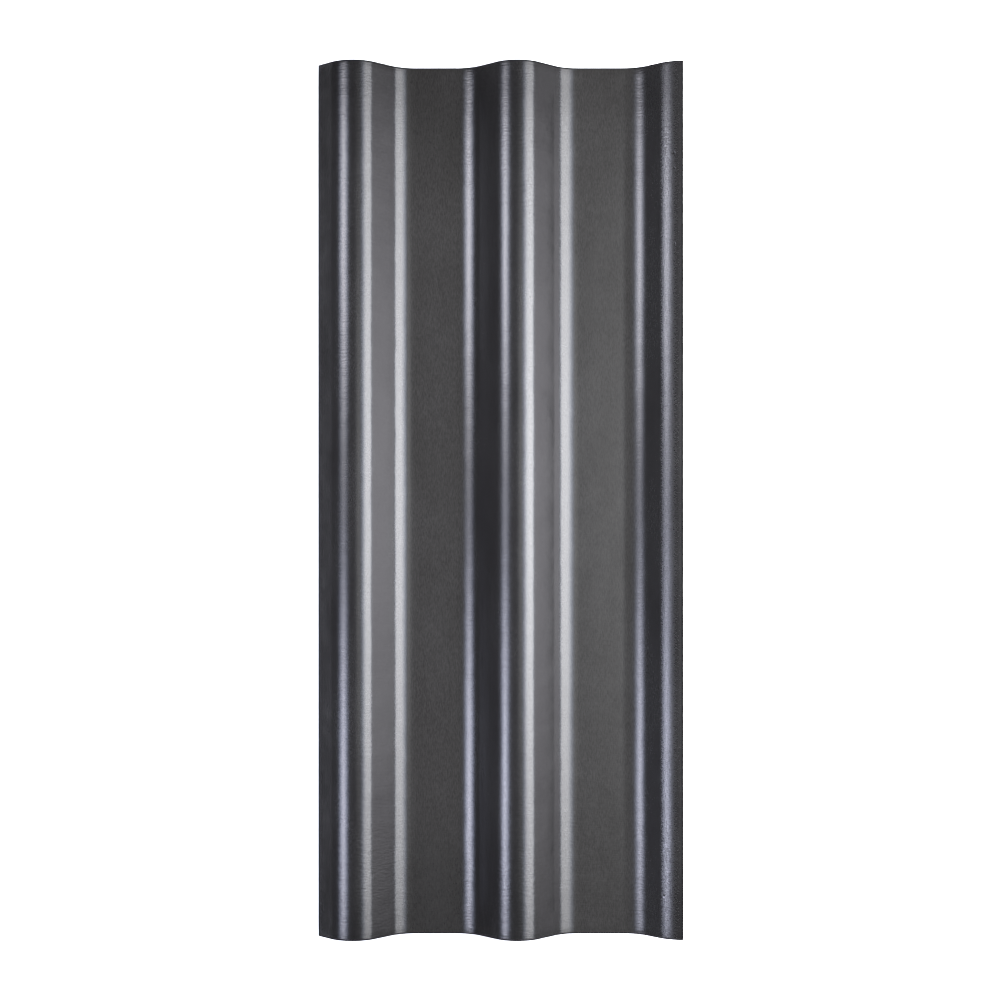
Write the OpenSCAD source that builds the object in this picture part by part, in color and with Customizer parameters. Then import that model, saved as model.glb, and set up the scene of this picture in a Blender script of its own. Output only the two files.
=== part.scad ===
// Double-corrugated fiber cement roof tile: one sheet of constant thickness, pressed into
// round-backed waves with broad flat valleys between them, and trimmed square on all four sides.
// The last crest is pressed a little lower, and the next tile's first crest laps over it.
// X runs across the tile, Y up the roof slope and Z out of the roof. The undersides of the
// valleys lie on z = 0, and the origin is at the middle of the sheet.

/* [Sheet] */
// Length of the tile, up the roof slope
tile_length = 1200; // [300:10:3000]
// Thickness of the fiber cement, measured square to its faces
thickness = 5; // [2:0.5:12]

/* [Waves] */
// Distance from one crest to the next
pitch = 225; // [180:0.5:400]
// Number of pitches that the laid tile covers
cover_pitches = 2; // [1:1:6]
// Rise of the weather face from the valleys to the crests
wave_depth = 42; // [30:1:65]
// Radius of the weather face over the back of a crest
crest_radius = 45; // [25:1:60]
// Radius of the weather face at the foot of a crest
foot_radius = 52; // [20:1:75]
// Slope of a crest's straight flank, from the horizontal
flank_angle = 41; // [33:1:50]

/* [Side edges] */
// Side lap: from the left edge to the top of the first crest
side_lap = 49; // [20:1:80]
// From the top of the last crest to the right edge
far_lip = 1; // [0:1:20]
// How much lower the last crest is than the others
lapped_drop = 5; // [0:0.5:12]

/* [Hidden] */
// facets of a full circle, in the drawn model
$fn = 180;
// the round cuts are this much over size, so that they cross the straight stretches that they
// run into, and no sliver is left where the two would only touch
run_in = 0.002;

tile_width = side_lap + cover_pitches * pitch + far_lip;
tile_height = thickness + wave_depth;

// unit vector square to the right-hand flank, pointing out of the roof
flank_normal = [sin(flank_angle), cos(flank_angle)];
// the part of a crest's rise, and of its width to one side, that its two curves take
curve_rise = (crest_radius + foot_radius) * (1 - cos(flank_angle));
curve_width = (crest_radius + foot_radius) * sin(flank_angle);

// Rise of a crest above the valleys, by its number from the left edge
function crest_rise(crest) = wave_depth - (crest == cover_pitches ? lapped_drop : 0);

// From the top of a crest to the edge of the flat valley. The straight flank takes what the two
// curves leave of the rise.
function crest_reach(rise) = curve_width + (rise - curve_rise) / tan(flank_angle);

// What lies under one crest's weather face, or under the surface at a given depth below it,
// measured square to the face: a prism with straight flanks, a round back and hollowed feet
module under_crest(rise, depth) {
    back_radius = crest_radius - depth;
    hollow_radius = foot_radius + depth;
    // centres of the curves over the crest and at its right foot, from its own centre line
    crest_centre = [0, thickness + rise - crest_radius];
    foot_centre = [crest_reach(rise), thickness + foot_radius];

    right_side = [
        [foot_centre.x, -depth],
        [foot_centre.x, thickness - depth],
        foot_centre - hollow_radius * flank_normal,
        crest_centre + back_radius * flank_normal
    ];
    left_side = [for (i = [len(right_side) - 1 : -1 : 0]) [-right_side[i].x, right_side[i].y]];

    difference() {
        union() {
            polygon(concat(right_side, left_side));
            translate(crest_centre - [0, run_in])
                circle(r = back_radius + run_in);
        }
        for (side = [-1, 1])
            translate([side * foot_centre.x, foot_centre.y])
                circle(r = hollow_radius + run_in);
    }
}

module under_crests(depth) {
    for (crest = [0 : cover_pitches])
        translate([side_lap + crest * pitch, 0])
            under_crest(crest_rise(crest), depth);
}

// Section across the tile. The left edge is cut low on the first crest's flank, and the right
// edge just past the top of the last crest.
module wave_section() {
    intersection() {
        square([tile_width, tile_height + thickness]);
        difference() {
            union() {
                square([tile_width, thickness]);
                under_crests(0);
            }
            under_crests(thickness);
        }
    }
}

module roof_tile() {
    color([0.25, 0.25, 0.26])
        translate([-tile_width / 2, tile_length / 2, 0])
            rotate([90, 0, 0])
                linear_extrude(height = tile_length)
                    wave_section();
}

roof_tile();
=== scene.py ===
import math
import bpy
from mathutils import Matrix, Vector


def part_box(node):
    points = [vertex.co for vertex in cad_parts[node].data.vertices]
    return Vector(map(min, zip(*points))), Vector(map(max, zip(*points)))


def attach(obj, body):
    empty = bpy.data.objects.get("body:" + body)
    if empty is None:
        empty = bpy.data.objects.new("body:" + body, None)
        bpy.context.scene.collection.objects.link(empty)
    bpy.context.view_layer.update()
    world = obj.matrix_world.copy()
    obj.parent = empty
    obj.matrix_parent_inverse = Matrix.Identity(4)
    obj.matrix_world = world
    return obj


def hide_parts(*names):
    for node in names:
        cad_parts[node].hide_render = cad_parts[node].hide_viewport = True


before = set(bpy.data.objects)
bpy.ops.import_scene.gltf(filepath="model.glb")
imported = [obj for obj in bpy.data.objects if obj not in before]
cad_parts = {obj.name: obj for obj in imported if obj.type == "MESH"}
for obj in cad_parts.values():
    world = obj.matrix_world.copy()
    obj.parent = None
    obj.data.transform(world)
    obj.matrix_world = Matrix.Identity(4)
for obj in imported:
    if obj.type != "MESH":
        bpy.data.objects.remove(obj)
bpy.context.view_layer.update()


# ---------------------------------------------------------------------------------------------
# Roof tile. One sheet of fiber cement, pressed into waves on a felt while wet, cured and trimmed
# square. The weather face and the cut edges are sprayed with a satin graphite coating, and the
# underside is bare cement that keeps the felt's print.
# ---------------------------------------------------------------------------------------------

# Sizes of the section, in metres
SHEET_THICKNESS = 0.005
PITCH = 0.225
SIDE_LAP = 0.049
FAR_LIP = 0.001
LAPPED_DROP = 0.005
CREST_RADIUS = 0.045
FOOT_RADIUS = 0.052
FLANK_ANGLE = math.radians(41)
ARRIS_RADIUS = 0.0006

tile_low, tile_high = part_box("roof_tile")
tile_width = tile_high.x - tile_low.x
tile_length = tile_high.y - tile_low.y
wave_depth = tile_high.z - tile_low.z - SHEET_THICKNESS

# Lengths along the weather face. The last crest is lower, so its flank is shorter.
curve_run = (CREST_RADIUS + FOOT_RADIUS) * math.sin(FLANK_ANGLE)
curve_rise = (CREST_RADIUS + FOOT_RADIUS) * (1 - math.cos(FLANK_ANGLE))
flank_length = (wave_depth - curve_rise) / math.sin(FLANK_ANGLE)
half_flat = PITCH / 2 - (curve_run + flank_length * math.cos(FLANK_ANGLE))
half_wave = (CREST_RADIUS + FOOT_RADIUS) * FLANK_ANGLE + flank_length + half_flat
flank_cut = LAPPED_DROP / math.sin(FLANK_ANGLE)
half_wave_cut = flank_cut - LAPPED_DROP / math.tan(FLANK_ANGLE)
last_crest = round((tile_width - SIDE_LAP - FAR_LIP) / PITCH)
# the left edge is cut on the first crest's flank, below the end of its round back
back_run = CREST_RADIUS * math.sin(FLANK_ANGLE)
left_reach = CREST_RADIUS * FLANK_ANGLE + (SIDE_LAP - back_run) / math.cos(FLANK_ANGLE)
sheet_width = left_reach + 2 * last_crest * half_wave - half_wave_cut + FAR_LIP

# Where the tops of the three crests lie across the tile
first_top = tile_low.x + SIDE_LAP
second_top = first_top + PITCH
last_top = first_top + last_crest * PITCH


def feed(tree, socket, value):
    """Links an output to the socket, or sets the socket to a plain value."""
    if isinstance(value, bpy.types.NodeSocket):
        tree.links.new(value, socket)
    else:
        socket.default_value = value


def calc(tree, operation, *values):
    """One Math node on numbers or outputs, and its result."""
    node = tree.nodes.new("ShaderNodeMath")
    node.operation = operation
    for socket, value in zip(node.inputs, values):
        feed(tree, socket, value)
    return node.outputs[0]


def times(tree, product, *others):
    """Numbers or outputs multiplied with each other."""
    for other in others:
        product = calc(tree, "MULTIPLY", product, other)
    return product


def plus(tree, total, *others):
    """Numbers or outputs added up."""
    for other in others:
        total = calc(tree, "ADD", total, other)
    return total


def minus(tree, first, second):
    """One number or output less another."""
    return calc(tree, "SUBTRACT", first, second)


def clamp_between(tree, value, low, high):
    """The value, held between two limits."""
    return calc(tree, "MINIMUM", calc(tree, "MAXIMUM", value, low), high)


def vector_calc(tree, operation, *values):
    """One Vector Math node on vectors or outputs, and its result."""
    node = tree.nodes.new("ShaderNodeVectorMath")
    node.operation = operation
    for socket, value in zip(node.inputs, values):
        feed(tree, socket, value)
    return node.outputs["Value" if operation == "DISTANCE" else "Vector"]


def place(tree, kind, **inputs):
    """A node of that kind. Underscores in an input's name stand for spaces."""
    node = tree.nodes.new(kind)
    for name, value in inputs.items():
        feed(tree, node.inputs[name.replace("_", " ")], value)
    return node


def vector(tree, x, y, z):
    """A vector made of three numbers or outputs."""
    return place(tree, "ShaderNodeCombineXYZ", X=x, Y=y, Z=z).outputs[0]


def remap(tree, value, low, high, new_low=0.0, new_high=1.0, kind="LINEAR"):
    """The value moved from one range to another, and held inside it."""
    node = place(tree, "ShaderNodeMapRange", Value=value, From_Min=low, From_Max=high,
                 To_Min=new_low, To_Max=new_high)
    node.interpolation_type = kind
    return node.outputs["Result"]


def fade(tree, value, low, high, new_low=0.0, new_high=1.0):
    """The same, with soft ends."""
    return remap(tree, value, low, high, new_low, new_high, kind="SMOOTHSTEP")


def new_group(kind, name, inputs, outputs):
    """An empty node group with named sockets, and its input and output nodes."""
    tree = bpy.data.node_groups.new(name, kind)
    for socket_name, socket_type in inputs:
        tree.interface.new_socket(name=socket_name, in_out="INPUT", socket_type=socket_type)
    for socket_name, socket_type in outputs:
        tree.interface.new_socket(name=socket_name, in_out="OUTPUT", socket_type=socket_type)
    return tree, tree.nodes.new("NodeGroupInput").outputs, tree.nodes.new("NodeGroupOutput").inputs


FLOAT, INT, COLOUR = "NodeSocketFloat", "NodeSocketInt", "NodeSocketColor"


# Long grain: noise stretched along the sheet or across it, for ripples, streaks and mottling
def make_stretched_noise():
    tree, given, result = new_group(
        "ShaderNodeTree", "stretched_noise",
        [("Across", FLOAT), ("Along", FLOAT), ("Detail", FLOAT), ("Shift", FLOAT)],
        [("Value", FLOAT)])
    where = tree.nodes.new("ShaderNodeTexCoord").outputs["Object"]
    repeats = vector(tree, given["Across"], given["Along"], given["Across"])
    shift = vector(tree, given["Shift"], given["Shift"], given["Shift"])
    shifted = vector_calc(tree, "ADD", vector_calc(tree, "MULTIPLY", where, repeats), shift)
    noise = place(tree, "ShaderNodeTexNoise", Vector=shifted, Scale=1.0, Detail=given["Detail"])
    tree.links.new(noise.outputs["Fac"], result["Value"])
    return tree


stretched_noise = make_stretched_noise()


def noise_value(tree, across, along, detail, shift):
    """Noise with that many features a metre across the tile and along it."""
    node = tree.nodes.new("ShaderNodeGroup")
    node.node_tree = stretched_noise
    for name, value in (("Across", across), ("Along", along), ("Detail", detail), ("Shift", shift)):
        node.inputs[name].default_value = value
    return node.outputs["Value"]


def mix_colour(tree, share, first, second):
    """Two colours mixed by a share."""
    node = tree.nodes.new("ShaderNodeMix")
    node.data_type = "RGBA"
    feed(tree, node.inputs["Factor"], share)
    feed(tree, node.inputs[6], first)
    feed(tree, node.inputs[7], second)
    return node.outputs[2]


def new_material(name):
    """A material with a Principled BSDF, its tree and the shader's inputs."""
    material = bpy.data.materials.new(name)
    material.use_nodes = True
    return material, material.node_tree, material.node_tree.nodes["Principled BSDF"].inputs


def round_mark(tree, where, spot, reach):
    """1 at a spot on the tile, falling to 0 at its reach."""
    return fade(tree, vector_calc(tree, "DISTANCE", where, spot), 0.0, reach, 1.0, 0.0)


# Graphite coating: a satin film, sprayed on the weather face and the cut edges. It follows the
# cross ripples of the pressed sheet and has an orange peel of its own, coarser on the lapped crest.

# Its colours, each from the darkest to the lightest of the mottling
GRAPHITE = (0.0108, 0.0102, 0.0100, 1), (0.0148, 0.0142, 0.0138, 1)
VALLEY_GRAPHITE = (0.0210, 0.0199, 0.0182, 1), (0.0238, 0.0227, 0.0210, 1)
# the grey of a painted highlight: a pale dot that stands in for the glint of a bead in the film
PAINTED_GLINT_GREY = (0.19, 0.19, 0.21, 1)

# Its satin: the film's own values, and what each place on the tile adds to them
FILM_ROUGHNESS = 0.12, 0.20
LAST_WAVE_ROUGHER = 0.05
CREST_ROUGHER = 0.03
SECOND_CREST_ROUGHER = 0.035
LAPPED_CREST_ROUGHER = 0.08
CUT_ROUGHER = 0.3
FILM_GLOSS = 0.5
THICK_FILM_GLOSS = 0.27

# Heights of its relief, in metres
RIPPLE_HEIGHT = 0.20e-3
PEEL_HEIGHT = 0.035e-3
WAVINESS_HEIGHT = 0.45e-3
EARLY_FOOT_HEIGHT = 0.35e-3

# A painted highlight near the lapped crest's near end: a pale dot painted into the coat where a small
# bead in the film would glint; its place and reach
PAINTED_GLINT = (0.2245, -0.5432, 0.0347), 0.0024
# Pits in it, beside the painted highlight and towards the far end: the place, reach and depth of each
PITS = [((0.2245, -0.5405, 0.0347), 0.0020, 0.50e-3),
        ((0.2371, 0.4745, 0.0404), 0.0030, 0.80e-3),
        ((0.2375, 0.4541, 0.0405), 0.0024, 0.60e-3),
        ((0.2383, 0.3510, 0.0407), 0.0024, 0.60e-3)]

coating, tree, shader = new_material("graphite_coating")
where = tree.nodes.new("ShaderNodeTexCoord").outputs
across, along, up = place(tree, "ShaderNodeSeparateXYZ", Vector=where["Object"]).outputs
facing = place(tree, "ShaderNodeSeparateXYZ", Vector=where["Normal"]).outputs
from_near_end = minus(tree, along, tile_low.y)
from_far_end = minus(tree, tile_high.y, along)
from_end = calc(tree, "MINIMUM", from_near_end, from_far_end)
from_side = minus(tree, tile_high.x, calc(tree, "ABSOLUTE", across))

# parts of the tile: each of these is 1 on its part and 0 elsewhere
in_valley = fade(tree, up, 0.0052, 0.0120, 1.0, 0.0)
on_crest = fade(tree, up, 0.030, 0.040)
on_back = fade(tree, up, 0.037, 0.042)
on_last = fade(tree, across, last_top - 0.0310, last_top - 0.0255)
left_of_edge = fade(tree, across, last_top - 0.015, last_top - 0.004, 1.0, 0.0)
on_last_side = times(tree, on_last, left_of_edge)
first_flank = times(tree, fade(tree, across, first_top + 0.021, first_top + 0.029),
                    fade(tree, across, first_top + 0.048, first_top + 0.055, 1.0, 0.0))
early_foot = times(tree, fade(tree, across, first_top + 0.071, first_top + 0.083),
                   fade(tree, across, first_top + 0.083, first_top + 0.131, 1.0, 0.0))
second_left = times(tree, fade(tree, across, second_top - 0.049, second_top - 0.029),
                    fade(tree, across, second_top - 0.010, second_top, 1.0, 0.0))
on_cut = fade(tree, facing["Z"], 0.35, 0.70, 1.0, 0.0)
on_cut = calc(tree, "MAXIMUM", on_cut, remap(tree, from_side, 0.0010, 0.0034, 1.0, 0.0))
on_cut = calc(tree, "MAXIMUM", on_cut, remap(tree, from_end, 0.0010, 0.0024, 1.0, 0.0))

# colour: mottled and finely streaked, lighter and warmer in the valleys, darker towards the ends as
# painted shade, and darker on the cuts, partly for their dull film and partly as painted shade for the
# dark line their arrises show
mottle = remap(tree, noise_value(tree, across=22.0, along=9.0, detail=3.0, shift=4.1), 0.35, 0.65)
streak = noise_value(tree, across=650.0, along=200.0, detail=2.0, shift=9.3)
coat = mix_colour(tree, in_valley, mix_colour(tree, mottle, *GRAPHITE),
                  mix_colour(tree, mottle, *VALLEY_GRAPHITE))
# painted shade: the coat is darkened towards the ends of the first two waves, where less light falls on
# the tile
painted_end_shade = times(tree, fade(tree, from_end, 0.02, 0.22, 0.26, 0.0),
                  fade(tree, across, second_top + 0.026, second_top + 0.096, 1.0, 0.15))
# the streaks are the film's own; the darker cuts are partly a duller film and partly painted shade,
# standing in for the dark line the rounded arrises show
shade = times(tree, remap(tree, streak, 0.3, 0.7, 0.80, 1.20), minus(tree, 1.0, painted_end_shade),
              remap(tree, on_cut, 0.0, 1.0, 1.0, 0.55))
coat = vector_calc(tree, "MULTIPLY", coat, vector(tree, shade, shade, shade))
# painted highlight: a pale dot mixed into the coat near the lapped crest's near end
coat = mix_colour(tree, round_mark(tree, where["Object"], *PAINTED_GLINT), coat, PAINTED_GLINT_GREY)
tree.links.new(coat, shader["Base Color"])

# roughness: the film is smoothest on the first two waves, and dries dull on the cuts
grain = noise_value(tree, across=480.0, along=480.0, detail=1.0, shift=7.7)
rough = plus(tree, remap(tree, grain, 0.3, 0.7, *FILM_ROUGHNESS),
             fade(tree, across, last_top - 0.099, last_top - 0.069, 0.0, LAST_WAVE_ROUGHER),
             times(tree, on_crest, CREST_ROUGHER),
             times(tree, on_last_side, LAPPED_CREST_ROUGHER),
             times(tree, on_cut, CUT_ROUGHER),
             times(tree, second_left, SECOND_CREST_ROUGHER))
tree.links.new(rough, shader["Roughness"])

# gloss: the film is thicker, and so glossier, on the backs of the second and third crests
thicker = times(tree, calc(tree, "MAXIMUM", on_back, on_last), left_of_edge,
                remap(tree, across, first_top + 0.151, last_top - 0.019, 0.0, THICK_FILM_GLOSS),
                fade(tree, from_far_end, 0.05, 0.20, 0.5, 1.0))
gloss = plus(tree, remap(tree, on_cut, 0.0, 1.0, FILM_GLOSS, 0.0), thicker)
# it thins out towards the right edge and both ends, and lies a little thicker again on the first
# right flank and the second crest's left side
gloss = times(tree, gloss, remap(tree, across, last_top - 0.005, last_top - 0.001, 1.0, 0.3),
              fade(tree, from_far_end, 0.025, 0.110, 0.76, 1.0),
              fade(tree, from_near_end, 0.020, 0.100, 0.90, 1.0),
              remap(tree, first_flank, 0.0, 1.0, 1.0, 1.15),
              remap(tree, second_left, 0.0, 1.0, 1.0, 1.08))
# its skin is grainy, most of all towards the ends and on the lapped crest
towards_ends = times(tree, fade(tree, from_end, 0.05, 0.32, 1.35, 0.8),
                     fade(tree, from_near_end, 0.10, 0.22, 1.16, 1.0))
skin = times(tree, minus(tree, noise_value(tree, across=420.0, along=560.0, detail=1.0, shift=5.2), 0.5),
             towards_ends, remap(tree, on_last, 0.0, 1.0, 0.45, 1.7),
             fade(tree, across, last_top - 0.017, last_top - 0.009, 1.0, 0.3))
gloss = times(tree, gloss, plus(tree, skin, 1.0))

# relief: ripples, strongest high up, towards the ends and where the face turns left, then peel, a
# slow waviness, and a first valley whose left foot runs out a little sooner than the others
ripple = times(tree, minus(tree, noise_value(tree, across=90.0, along=400.0, detail=1.0, shift=1.7), 0.5),
               towards_ends, fade(tree, facing["X"], -0.30, -0.10, 0.85, 0.55),
               fade(tree, facing["X"], -0.62, -0.50, 0.35, 1.0),
               fade(tree, up, 0.012, 0.030, 0.72, 1.1), remap(tree, on_last, 0.0, 1.0, 1.0, 0.55))
coarse = times(tree, on_last, fade(tree, across, last_top - 0.021, last_top - 0.013, 1.0, 0.0))
peel = times(tree, minus(tree, noise_value(tree, across=450.0, along=480.0, detail=1.0, shift=6.4), 0.5),
             remap(tree, coarse, 0.0, 1.0, 1.0, 5.0))
waviness = noise_value(tree, across=22.0, along=32.0, detail=1.0, shift=2.6)
height = plus(tree, times(tree, ripple, RIPPLE_HEIGHT), times(tree, peel, PEEL_HEIGHT),
              times(tree, waviness, WAVINESS_HEIGHT), times(tree, early_foot, EARLY_FOOT_HEIGHT))
for spot, reach, depth in PITS:
    pit = round_mark(tree, where["Object"], spot, reach)
    height = minus(tree, height, times(tree, pit, depth))
    gloss = times(tree, gloss, minus(tree, 1.0, pit))
tree.links.new(gloss, shader["Specular IOR Level"])
bump = place(tree, "ShaderNodeBump", Strength=1.0, Distance=1.0, Height=height)
tree.links.new(bump.outputs["Normal"], shader["Normal"])

# Bare back: grey cement, clouded where it dried unevenly, with the print of the felt in it
CEMENT_GREY = (0.25, 0.245, 0.235, 1), (0.36, 0.355, 0.34, 1)
CEMENT_ROUGHNESS = 0.88
FELT_PRINT_HEIGHT = 0.12e-3

bare, tree, shader = new_material("bare_cement")
cloud = noise_value(tree, across=30.0, along=18.0, detail=4.0, shift=12.0)
cement = mix_colour(tree, remap(tree, cloud, 0.3, 0.7), *CEMENT_GREY)
tree.links.new(cement, shader["Base Color"])
shader["Roughness"].default_value = CEMENT_ROUGHNESS
felt = plus(tree, noise_value(tree, across=700.0, along=260.0, detail=2.0, shift=3.0),
            noise_value(tree, across=260.0, along=700.0, detail=2.0, shift=8.0))
bump = place(tree, "ShaderNodeBump", Strength=1.0, Distance=FELT_PRINT_HEIGHT, Height=felt)
tree.links.new(bump.outputs["Normal"], shader["Normal"])


# Rows of the sheet's mesh: evenly counted rows, moved so that the first and last few fall on
# the rounded arrises and the rest are spread over what lies between
def make_spread_rows():
    tree, given, result = new_group(
        "GeometryNodeTree", "spread_rows",
        [("Share", FLOAT), ("Rows", FLOAT), ("Arris Rows", FLOAT), ("Extent", FLOAT), ("Arris", FLOAT)],
        [("Distance", FLOAT)])
    row = times(tree, given["Share"], given["Rows"])
    last = minus(tree, given["Rows"], given["Arris Rows"])
    middle = minus(tree, given["Extent"], times(tree, given["Arris"], 2.0))
    distance = plus(tree, remap(tree, row, 0.0, given["Arris Rows"], 0.0, given["Arris"]),
                    remap(tree, row, given["Arris Rows"], last, 0.0, middle),
                    remap(tree, row, last, given["Rows"], 0.0, given["Arris"]))
    tree.links.new(distance, result["Distance"])
    return tree


# Section of the waves: from a length along the weather face, measured from the top of the first
# crest, to the place across the tile, the height and the slope there
SECTION_SIZES = ["Half Wave", "Pitch", "Top", "Crest Radius", "Foot Radius", "Flank Angle",
                 "Flank Length", "Last Crest", "Lapped Drop", "Flank Cut", "Half Wave Cut"]


def make_wave_section():
    tree, given, result = new_group(
        "GeometryNodeTree", "wave_section",
        [(name, FLOAT) for name in ["Along Face"] + SECTION_SIZES],
        [("Across", FLOAT), ("Height", FLOAT), ("Slope", FLOAT)])
    angle, back_radius, foot_radius = given["Flank Angle"], given["Crest Radius"], given["Foot Radius"]
    whole_wave = times(tree, given["Half Wave"], 2.0)
    wave = calc(tree, "ROUND", calc(tree, "DIVIDE", given["Along Face"], whole_wave))
    from_crest = minus(tree, given["Along Face"], times(tree, wave, whole_wave))
    is_last = calc(tree, "GREATER_THAN", wave, minus(tree, given["Last Crest"], 0.5))
    from_crest = plus(tree, from_crest, times(tree, is_last, given["Half Wave Cut"]))
    flank = minus(tree, given["Flank Length"], times(tree, is_last, given["Flank Cut"]))
    top = minus(tree, given["Top"], times(tree, is_last, given["Lapped Drop"]))
    side = calc(tree, "SIGN", from_crest)
    length = calc(tree, "ABSOLUTE", from_crest)

    # how much of the length lies on the round back, the flank, the foot and the flat
    back_end = times(tree, back_radius, angle)
    foot_start = plus(tree, back_end, flank)
    foot_end = plus(tree, foot_start, times(tree, foot_radius, angle))
    back_turn = clamp_between(tree, calc(tree, "DIVIDE", length, back_radius), 0.0, angle)
    on_flank = clamp_between(tree, minus(tree, length, back_end), 0.0, flank)
    into_foot = calc(tree, "DIVIDE", minus(tree, length, foot_start), foot_radius)
    foot_turn = clamp_between(tree, into_foot, 0.0, angle)
    on_flat = calc(tree, "MAXIMUM", minus(tree, length, foot_end), 0.0)
    slope_left = minus(tree, angle, foot_turn)

    # how far each of them runs across the tile, and how far it falls
    sine, cosine = calc(tree, "SINE", angle), calc(tree, "COSINE", angle)
    foot_run = times(tree, foot_radius, minus(tree, sine, calc(tree, "SINE", slope_left)))
    foot_fall = times(tree, foot_radius, minus(tree, calc(tree, "COSINE", slope_left), cosine))
    run = plus(tree, times(tree, back_radius, calc(tree, "SINE", back_turn)),
               times(tree, on_flank, cosine), foot_run, on_flat)
    fall = plus(tree, times(tree, back_radius, minus(tree, 1.0, calc(tree, "COSINE", back_turn))),
                times(tree, on_flank, sine), foot_fall)

    across = plus(tree, times(tree, wave, given["Pitch"]), times(tree, side, run))
    tree.links.new(across, result["Across"])
    tree.links.new(minus(tree, top, fall), result["Height"])
    tree.links.new(times(tree, side, minus(tree, back_turn, foot_turn)), result["Slope"])
    return tree


# The whole sheet: a flat slab with rounded arrises, bent along the section
def make_wave_sheet():
    sizes = ["Length", "Width", "Sheet Width", "Thickness", "Left Reach", "First Crest", "Arris",
             "Edge Ease", "Roll Height", "Roll Across", "Roll Along"] + SECTION_SIZES
    tree, given, result = new_group(
        "GeometryNodeTree", "wave_sheet",
        [(name, FLOAT) for name in sizes]
        + [(name, INT) for name in ("Rows Across", "Rows Along", "Rows Through", "Arris Rows")]
        + [("Coating", "NodeSocketMaterial"), ("Bare Back", "NodeSocketMaterial")],
        [("Geometry", "NodeSocketGeometry")])
    slab = place(tree, "GeometryNodeMeshCube", Size=(1, 1, 1),
                 Vertices_X=plus(tree, given["Rows Across"], 1.0),
                 Vertices_Y=plus(tree, given["Rows Along"], 1.0),
                 Vertices_Z=plus(tree, given["Rows Through"], 1.0)).outputs["Mesh"]
    slab_place = tree.nodes.new("GeometryNodeInputPosition").outputs[0]
    share = vector_calc(tree, "ADD", slab_place, (0.5, 0.5, 0.5))
    share = place(tree, "ShaderNodeSeparateXYZ", Vector=share).outputs
    # the lowest layer is marked as the bare back while the slab is still flat
    marked = tree.nodes.new("GeometryNodeCaptureAttribute")
    marked.domain = "FACE"
    marked.capture_items.new("FLOAT", "Under")
    feed(tree, marked.inputs["Geometry"], slab)
    feed(tree, marked.inputs["Under"], calc(tree, "LESS_THAN", share["Z"], 0.001))

    spread_rows = make_spread_rows()
    extents = {"X": "Sheet Width", "Y": "Length", "Z": "Thickness"}
    rows = {"X": "Rows Across", "Y": "Rows Along", "Z": "Rows Through"}
    raw, inner = {}, {}
    for axis in "XYZ":
        node = tree.nodes.new("GeometryNodeGroup")
        node.node_tree = spread_rows
        feed(tree, node.inputs["Share"], share[axis])
        feed(tree, node.inputs["Rows"], given[rows[axis]])
        feed(tree, node.inputs["Arris Rows"], given["Arris Rows"])
        feed(tree, node.inputs["Extent"], given[extents[axis]])
        feed(tree, node.inputs["Arris"], given["Arris"])
        raw[axis] = node.outputs["Distance"]
        far = minus(tree, given[extents[axis]], given["Arris"])
        inner[axis] = clamp_between(tree, raw[axis], given["Arris"], far)
    outer_place = place(tree, "ShaderNodeCombineXYZ", **raw).outputs[0]
    inner_place = place(tree, "ShaderNodeCombineXYZ", **inner).outputs[0]
    outward = vector_calc(tree, "NORMALIZE", vector_calc(tree, "SUBTRACT", outer_place, inner_place))
    rounding = tree.nodes.new("ShaderNodeVectorMath")
    rounding.operation = "SCALE"
    feed(tree, rounding.inputs[0], outward)
    feed(tree, rounding.inputs["Scale"], given["Arris"])
    flat = vector_calc(tree, "ADD", inner_place, rounding.outputs[0])
    flat = place(tree, "ShaderNodeSeparateXYZ", Vector=flat).outputs
    depth = minus(tree, given["Thickness"], flat["Z"])

    # the left edge is cut upright through the sloping flank, so lower layers reach further out
    edge_ease = minus(tree, 1.0, fade(tree, flat["X"], 0.0, given["Edge Ease"]))
    shear = times(tree, depth, calc(tree, "TANGENT", given["Flank Angle"]), edge_ease)
    along_face = minus(tree, minus(tree, flat["X"], given["Left Reach"]), shear)

    section = tree.nodes.new("GeometryNodeGroup")
    section.node_tree = make_wave_section()
    feed(tree, section.inputs["Along Face"], along_face)
    for name in SECTION_SIZES:
        feed(tree, section.inputs[name], given[name])
    slope = section.outputs["Slope"]

    # the flanks roll in and out a little, as a hand would feel; crests and valleys stay true
    roll_place = vector(tree, times(tree, flat["X"], given["Roll Across"]),
                        times(tree, flat["Y"], given["Roll Along"]), 3.7)
    roll = place(tree, "ShaderNodeTexNoise", Vector=roll_place, Scale=1.0, Detail=1.0).outputs["Fac"]
    roll = times(tree, minus(tree, roll, 0.5), given["Roll Height"],
                 calc(tree, "ABSOLUTE", calc(tree, "SINE", slope)), minus(tree, 1.0, edge_ease))
    out = minus(tree, roll, depth)

    half_width = times(tree, given["Width"], 0.5)
    x = plus(tree, section.outputs["Across"], times(tree, out, calc(tree, "SINE", slope)))
    x = calc(tree, "MINIMUM", plus(tree, x, given["First Crest"]), half_width)
    x = calc(tree, "MAXIMUM", x, times(tree, half_width, -1.0))
    y = minus(tree, flat["Y"], times(tree, given["Length"], 0.5))
    z = plus(tree, section.outputs["Height"], times(tree, out, calc(tree, "COSINE", slope)))
    bent = place(tree, "GeometryNodeSetPosition", Geometry=marked.outputs["Geometry"],
                 Position=vector(tree, x, y, z)).outputs[0]
    smooth = place(tree, "GeometryNodeSetShadeSmooth", Geometry=bent).outputs[0]
    real = place(tree, "GeometryNodeRealizeInstances", Geometry=smooth).outputs[0]
    coated = place(tree, "GeometryNodeSetMaterial", Geometry=real, Material=given["Coating"]).outputs[0]
    backed = place(tree, "GeometryNodeSetMaterial", Geometry=coated, Selection=marked.outputs["Under"],
                   Material=given["Bare Back"]).outputs[0]
    tree.links.new(backed, result["Geometry"])
    return tree


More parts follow.
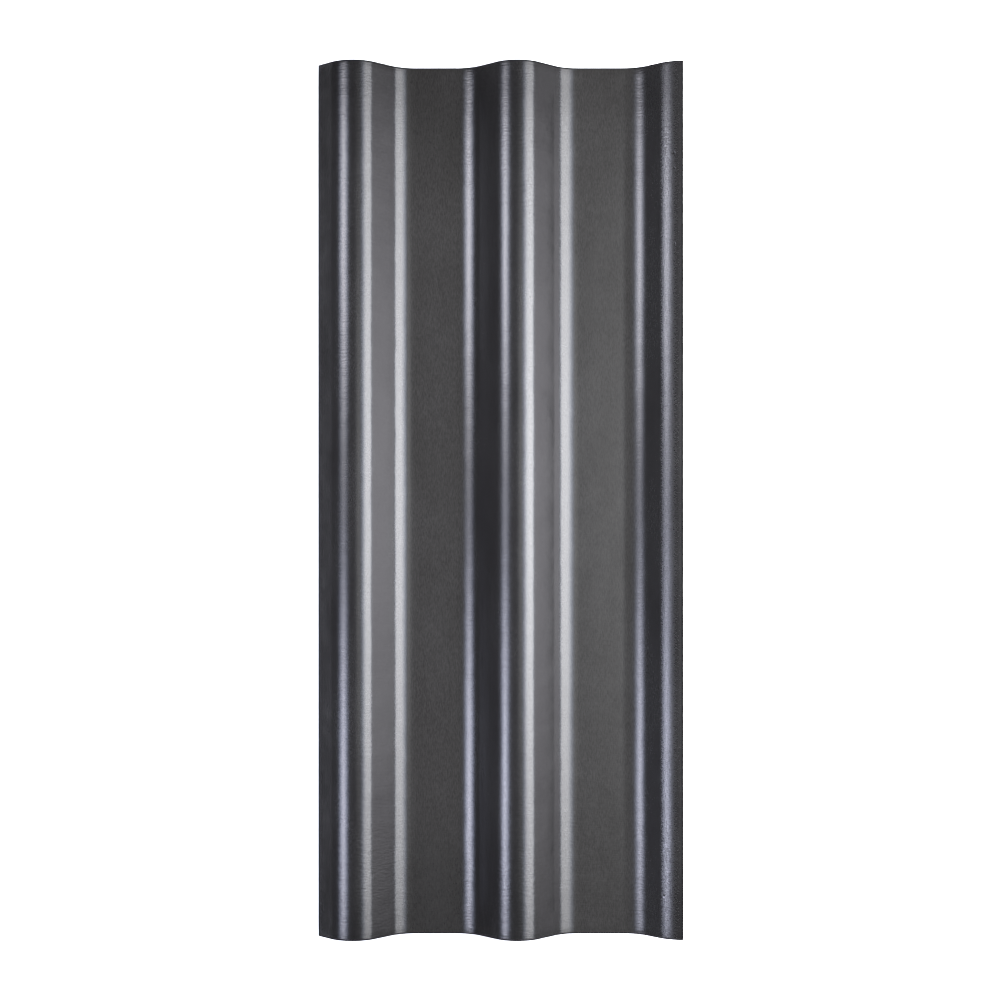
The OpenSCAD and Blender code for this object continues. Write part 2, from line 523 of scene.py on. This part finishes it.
wave_sheet = make_wave_sheet()
maker = bpy.data.objects.new("sheet_maker", bpy.data.meshes.new("sheet_maker"))
bpy.context.scene.collection.objects.link(maker)
modifier = maker.modifiers.new("wave_sheet", "NODES")
modifier.node_group = wave_sheet
settings = {
    "Length": tile_length, "Width": tile_width, "Sheet Width": sheet_width, "Thickness": SHEET_THICKNESS,
    "Left Reach": left_reach, "First Crest": first_top, "Half Wave": half_wave,
    "Pitch": PITCH, "Top": tile_high.z, "Crest Radius": CREST_RADIUS, "Foot Radius": FOOT_RADIUS,
    "Flank Angle": FLANK_ANGLE, "Flank Length": flank_length, "Last Crest": last_crest,
    "Lapped Drop": LAPPED_DROP, "Flank Cut": flank_cut, "Half Wave Cut": half_wave_cut,
    "Arris": ARRIS_RADIUS, "Edge Ease": 0.02,
    "Roll Height": 0.0006, "Roll Across": 12.0, "Roll Along": 7.0,
    "Rows Across": 230, "Rows Along": 120, "Rows Through": 9, "Arris Rows": 3,
    "Coating": coating, "Bare Back": bare,
}
for socket in wave_sheet.interface.items_tree:
    if socket.in_out == "INPUT":
        modifier[socket.identifier] = settings[socket.name]
evaluated = maker.evaluated_get(bpy.context.evaluated_depsgraph_get())
sheet = bpy.data.objects.new("tile_sheet", bpy.data.meshes.new_from_object(evaluated))
bpy.context.scene.collection.objects.link(sheet)
maker.modifiers.remove(modifier)
bpy.data.objects.remove(maker)
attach(sheet, "root")
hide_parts("roof_tile")


# ---------------------------------------------------------------------------------------------
# Studio floor. A plain pale board that the tile lies on. It glows faintly, so that the shadows
# beside the tile stay light.
# ---------------------------------------------------------------------------------------------
FLOOR_SPAN = 16.0
FLOOR_PAINT = (0.82, 0.82, 0.82, 1)
FLOOR_ROUGHNESS = 0.9
FLOOR_GLOW = 0.15

corner = FLOOR_SPAN / 2
floor_corners = [(-corner, -corner, tile_low.z), (corner, -corner, tile_low.z),
                 (corner, corner, tile_low.z), (-corner, corner, tile_low.z)]
floor_mesh = bpy.data.meshes.new("studio_floor")
floor_mesh.from_pydata(floor_corners, [], [(0, 1, 2, 3)])
floor = bpy.data.objects.new("studio_floor", floor_mesh)
bpy.context.scene.collection.objects.link(floor)
floor_paint, tree, shader = new_material("floor_paint")
shader["Base Color"].default_value = FLOOR_PAINT
shader["Roughness"].default_value = FLOOR_ROUGHNESS
shader["Emission Color"].default_value = (1, 1, 1, 1)
shader["Emission Strength"].default_value = FLOOR_GLOW
floor_mesh.materials.append(floor_paint)


# ---------------------------------------------------------------------------------------------
# Studio lights. Two softboxes stand at the left, end to end, one long softbox and a low white
# board stand at the right, and a weak softbox hangs overhead. Each is brightest in its middle
# and fades towards its sides.
# ---------------------------------------------------------------------------------------------
SOFTBOX_EDGE = (0.72, 0.82, 1.0, 1)
SOFTBOX_MIDDLE = (1, 0.985, 0.97, 1)
SOFTBOX_FALLOFF = 1.5


def make_softbox_glow():
    """How bright a softbox is at a place on its face. The fades are shares of its width or its
    length, and Side is 1 where the face's own x axis points away from the tile, else -1."""
    tree, given, result = new_group(
        "ShaderNodeTree", "softbox_glow",
        [("Side", FLOAT), ("Near Fade", FLOAT), ("Far Fade", FLOAT), ("End Fade", FLOAT)],
        [("Glow", FLOAT), ("Tint", COLOUR)])
    face = place(tree, "ShaderNodeSeparateXYZ",
                 Vector=tree.nodes.new("ShaderNodeNewGeometry").outputs["Parametric"]).outputs
    outward = plus(tree, times(tree, minus(tree, face["X"], 0.5), given["Side"]), 0.5)
    near = fade(tree, outward, 0.0, given["Near Fade"])
    far = fade(tree, minus(tree, 1.0, outward), 0.0, given["Far Fade"])
    from_end = minus(tree, 0.5, calc(tree, "ABSOLUTE", minus(tree, face["Y"], 0.5)))
    ends = fade(tree, from_end, 0.0, given["End Fade"])
    middle = calc(tree, "POWER", times(tree, near, far), SOFTBOX_FALLOFF)
    tree.links.new(times(tree, middle, ends), result["Glow"])
    tree.links.new(mix_colour(tree, middle, SOFTBOX_EDGE, SOFTBOX_MIDDLE), result["Tint"])
    return tree


softbox_glow = make_softbox_glow()


def softbox(name, angle, distance, along, wide, long, brightness, colour,
            near_fade=0.5, far_fade=0.5, end_fade=0.5):
    """A softbox that faces the tile's middle line, at an angle from straight up. Its brightness
    is what a mirror would show of its middle."""
    lamp = bpy.data.lights.new(name, "AREA")
    lamp.shape = "RECTANGLE"
    lamp.size, lamp.size_y = wide, long
    # an area light of power P and area A shines at P / (pi * A)
    lamp.energy = brightness * math.pi * wide * long
    lamp.color = colour
    lamp.use_nodes = True
    tree = lamp.node_tree
    glow = tree.nodes.new("ShaderNodeGroup")
    glow.node_tree = softbox_glow
    glow.inputs["Side"].default_value = math.copysign(1, angle)
    glow.inputs["Near Fade"].default_value = near_fade
    glow.inputs["Far Fade"].default_value = far_fade
    glow.inputs["End Fade"].default_value = end_fade
    tree.links.new(glow.outputs["Glow"], tree.nodes["Emission"].inputs["Strength"])
    tree.links.new(glow.outputs["Tint"], tree.nodes["Emission"].inputs["Color"])
    light = bpy.data.objects.new(name, lamp)
    turn = math.radians(angle)
    light.location = (distance * math.sin(turn), along, tile_high.z / 2 + distance * math.cos(turn))
    light.rotation_euler = (0, turn, 0)
    light.visible_camera = False
    bpy.context.scene.collection.objects.link(light)


softbox("left_upper_box", angle=-42.5, distance=1.33, along=0.59, wide=1.1, long=1.42,
        brightness=15.8, colour=(0.89, 0.89, 1.0))
softbox("left_lower_box", angle=-43.5, distance=1.33, along=-0.60, wide=1.1, long=1.62,
        brightness=15.8, colour=(0.80, 0.82, 1.0))
softbox("right_box", angle=38.5, distance=1.56, along=0.13, wide=1.55, long=4.15,
        brightness=16.0, colour=(0.92, 0.94, 1.0), near_fade=0.52, far_fade=0.17)
softbox("right_board", angle=76.4, distance=1.6, along=0.1, wide=0.81, long=3.2,
        brightness=3.4, colour=(0.91, 0.91, 1.0), near_fade=0.08, far_fade=0.03)
softbox("top_box", angle=12.5, distance=2.4, along=0.1, wide=1.5, long=3.1,
        brightness=1.8, colour=(1.0, 1.0, 0.98))

# the room is dark, and only the camera sees it as white
ROOM_BRIGHTNESS = 0.12
world = bpy.data.worlds.new("studio")
bpy.context.scene.world = world
world.use_nodes = True
seen_directly = world.node_tree.nodes.new("ShaderNodeLightPath").outputs["Is Camera Ray"]
backdrop = calc(world.node_tree, "MAXIMUM", seen_directly, ROOM_BRIGHTNESS)
world.node_tree.links.new(backdrop, world.node_tree.nodes["Background"].inputs["Strength"])
world.node_tree.nodes["Background"].inputs["Color"].default_value = (1, 1, 1, 1)


# ---------------------------------------------------------------------------------------------
# Camera. It hangs over the tile, a little nearer its near end, and looks straight down. The
# lens is shifted to bring the tile back to the middle of the view.
# ---------------------------------------------------------------------------------------------
LENS_LENGTH = 57.82
SENSOR_WIDTH = 36.0
LENS_SHIFT = 0.0001, 0.0271
CAMERA_PLACE = (0.0, -0.0365, 2.233)
CAMERA_TURN = math.radians(-0.01)
FARTHEST_SEEN = 60.0

lens = bpy.data.cameras.new("camera")
lens.lens = LENS_LENGTH
lens.sensor_width = SENSOR_WIDTH
lens.shift_x, lens.shift_y = LENS_SHIFT
lens.clip_end = FARTHEST_SEEN
camera = bpy.data.objects.new("camera", lens)
camera.location = CAMERA_PLACE
camera.rotation_euler = (0, 0, CAMERA_TURN)
bpy.context.scene.collection.objects.link(camera)
bpy.context.scene.camera = camera
bpy.context.scene.view_settings.view_transform = "Standard"
# a narrow filter keeps the outline and the fine relief crisp
bpy.context.scene.cycles.filter_width = 1.0
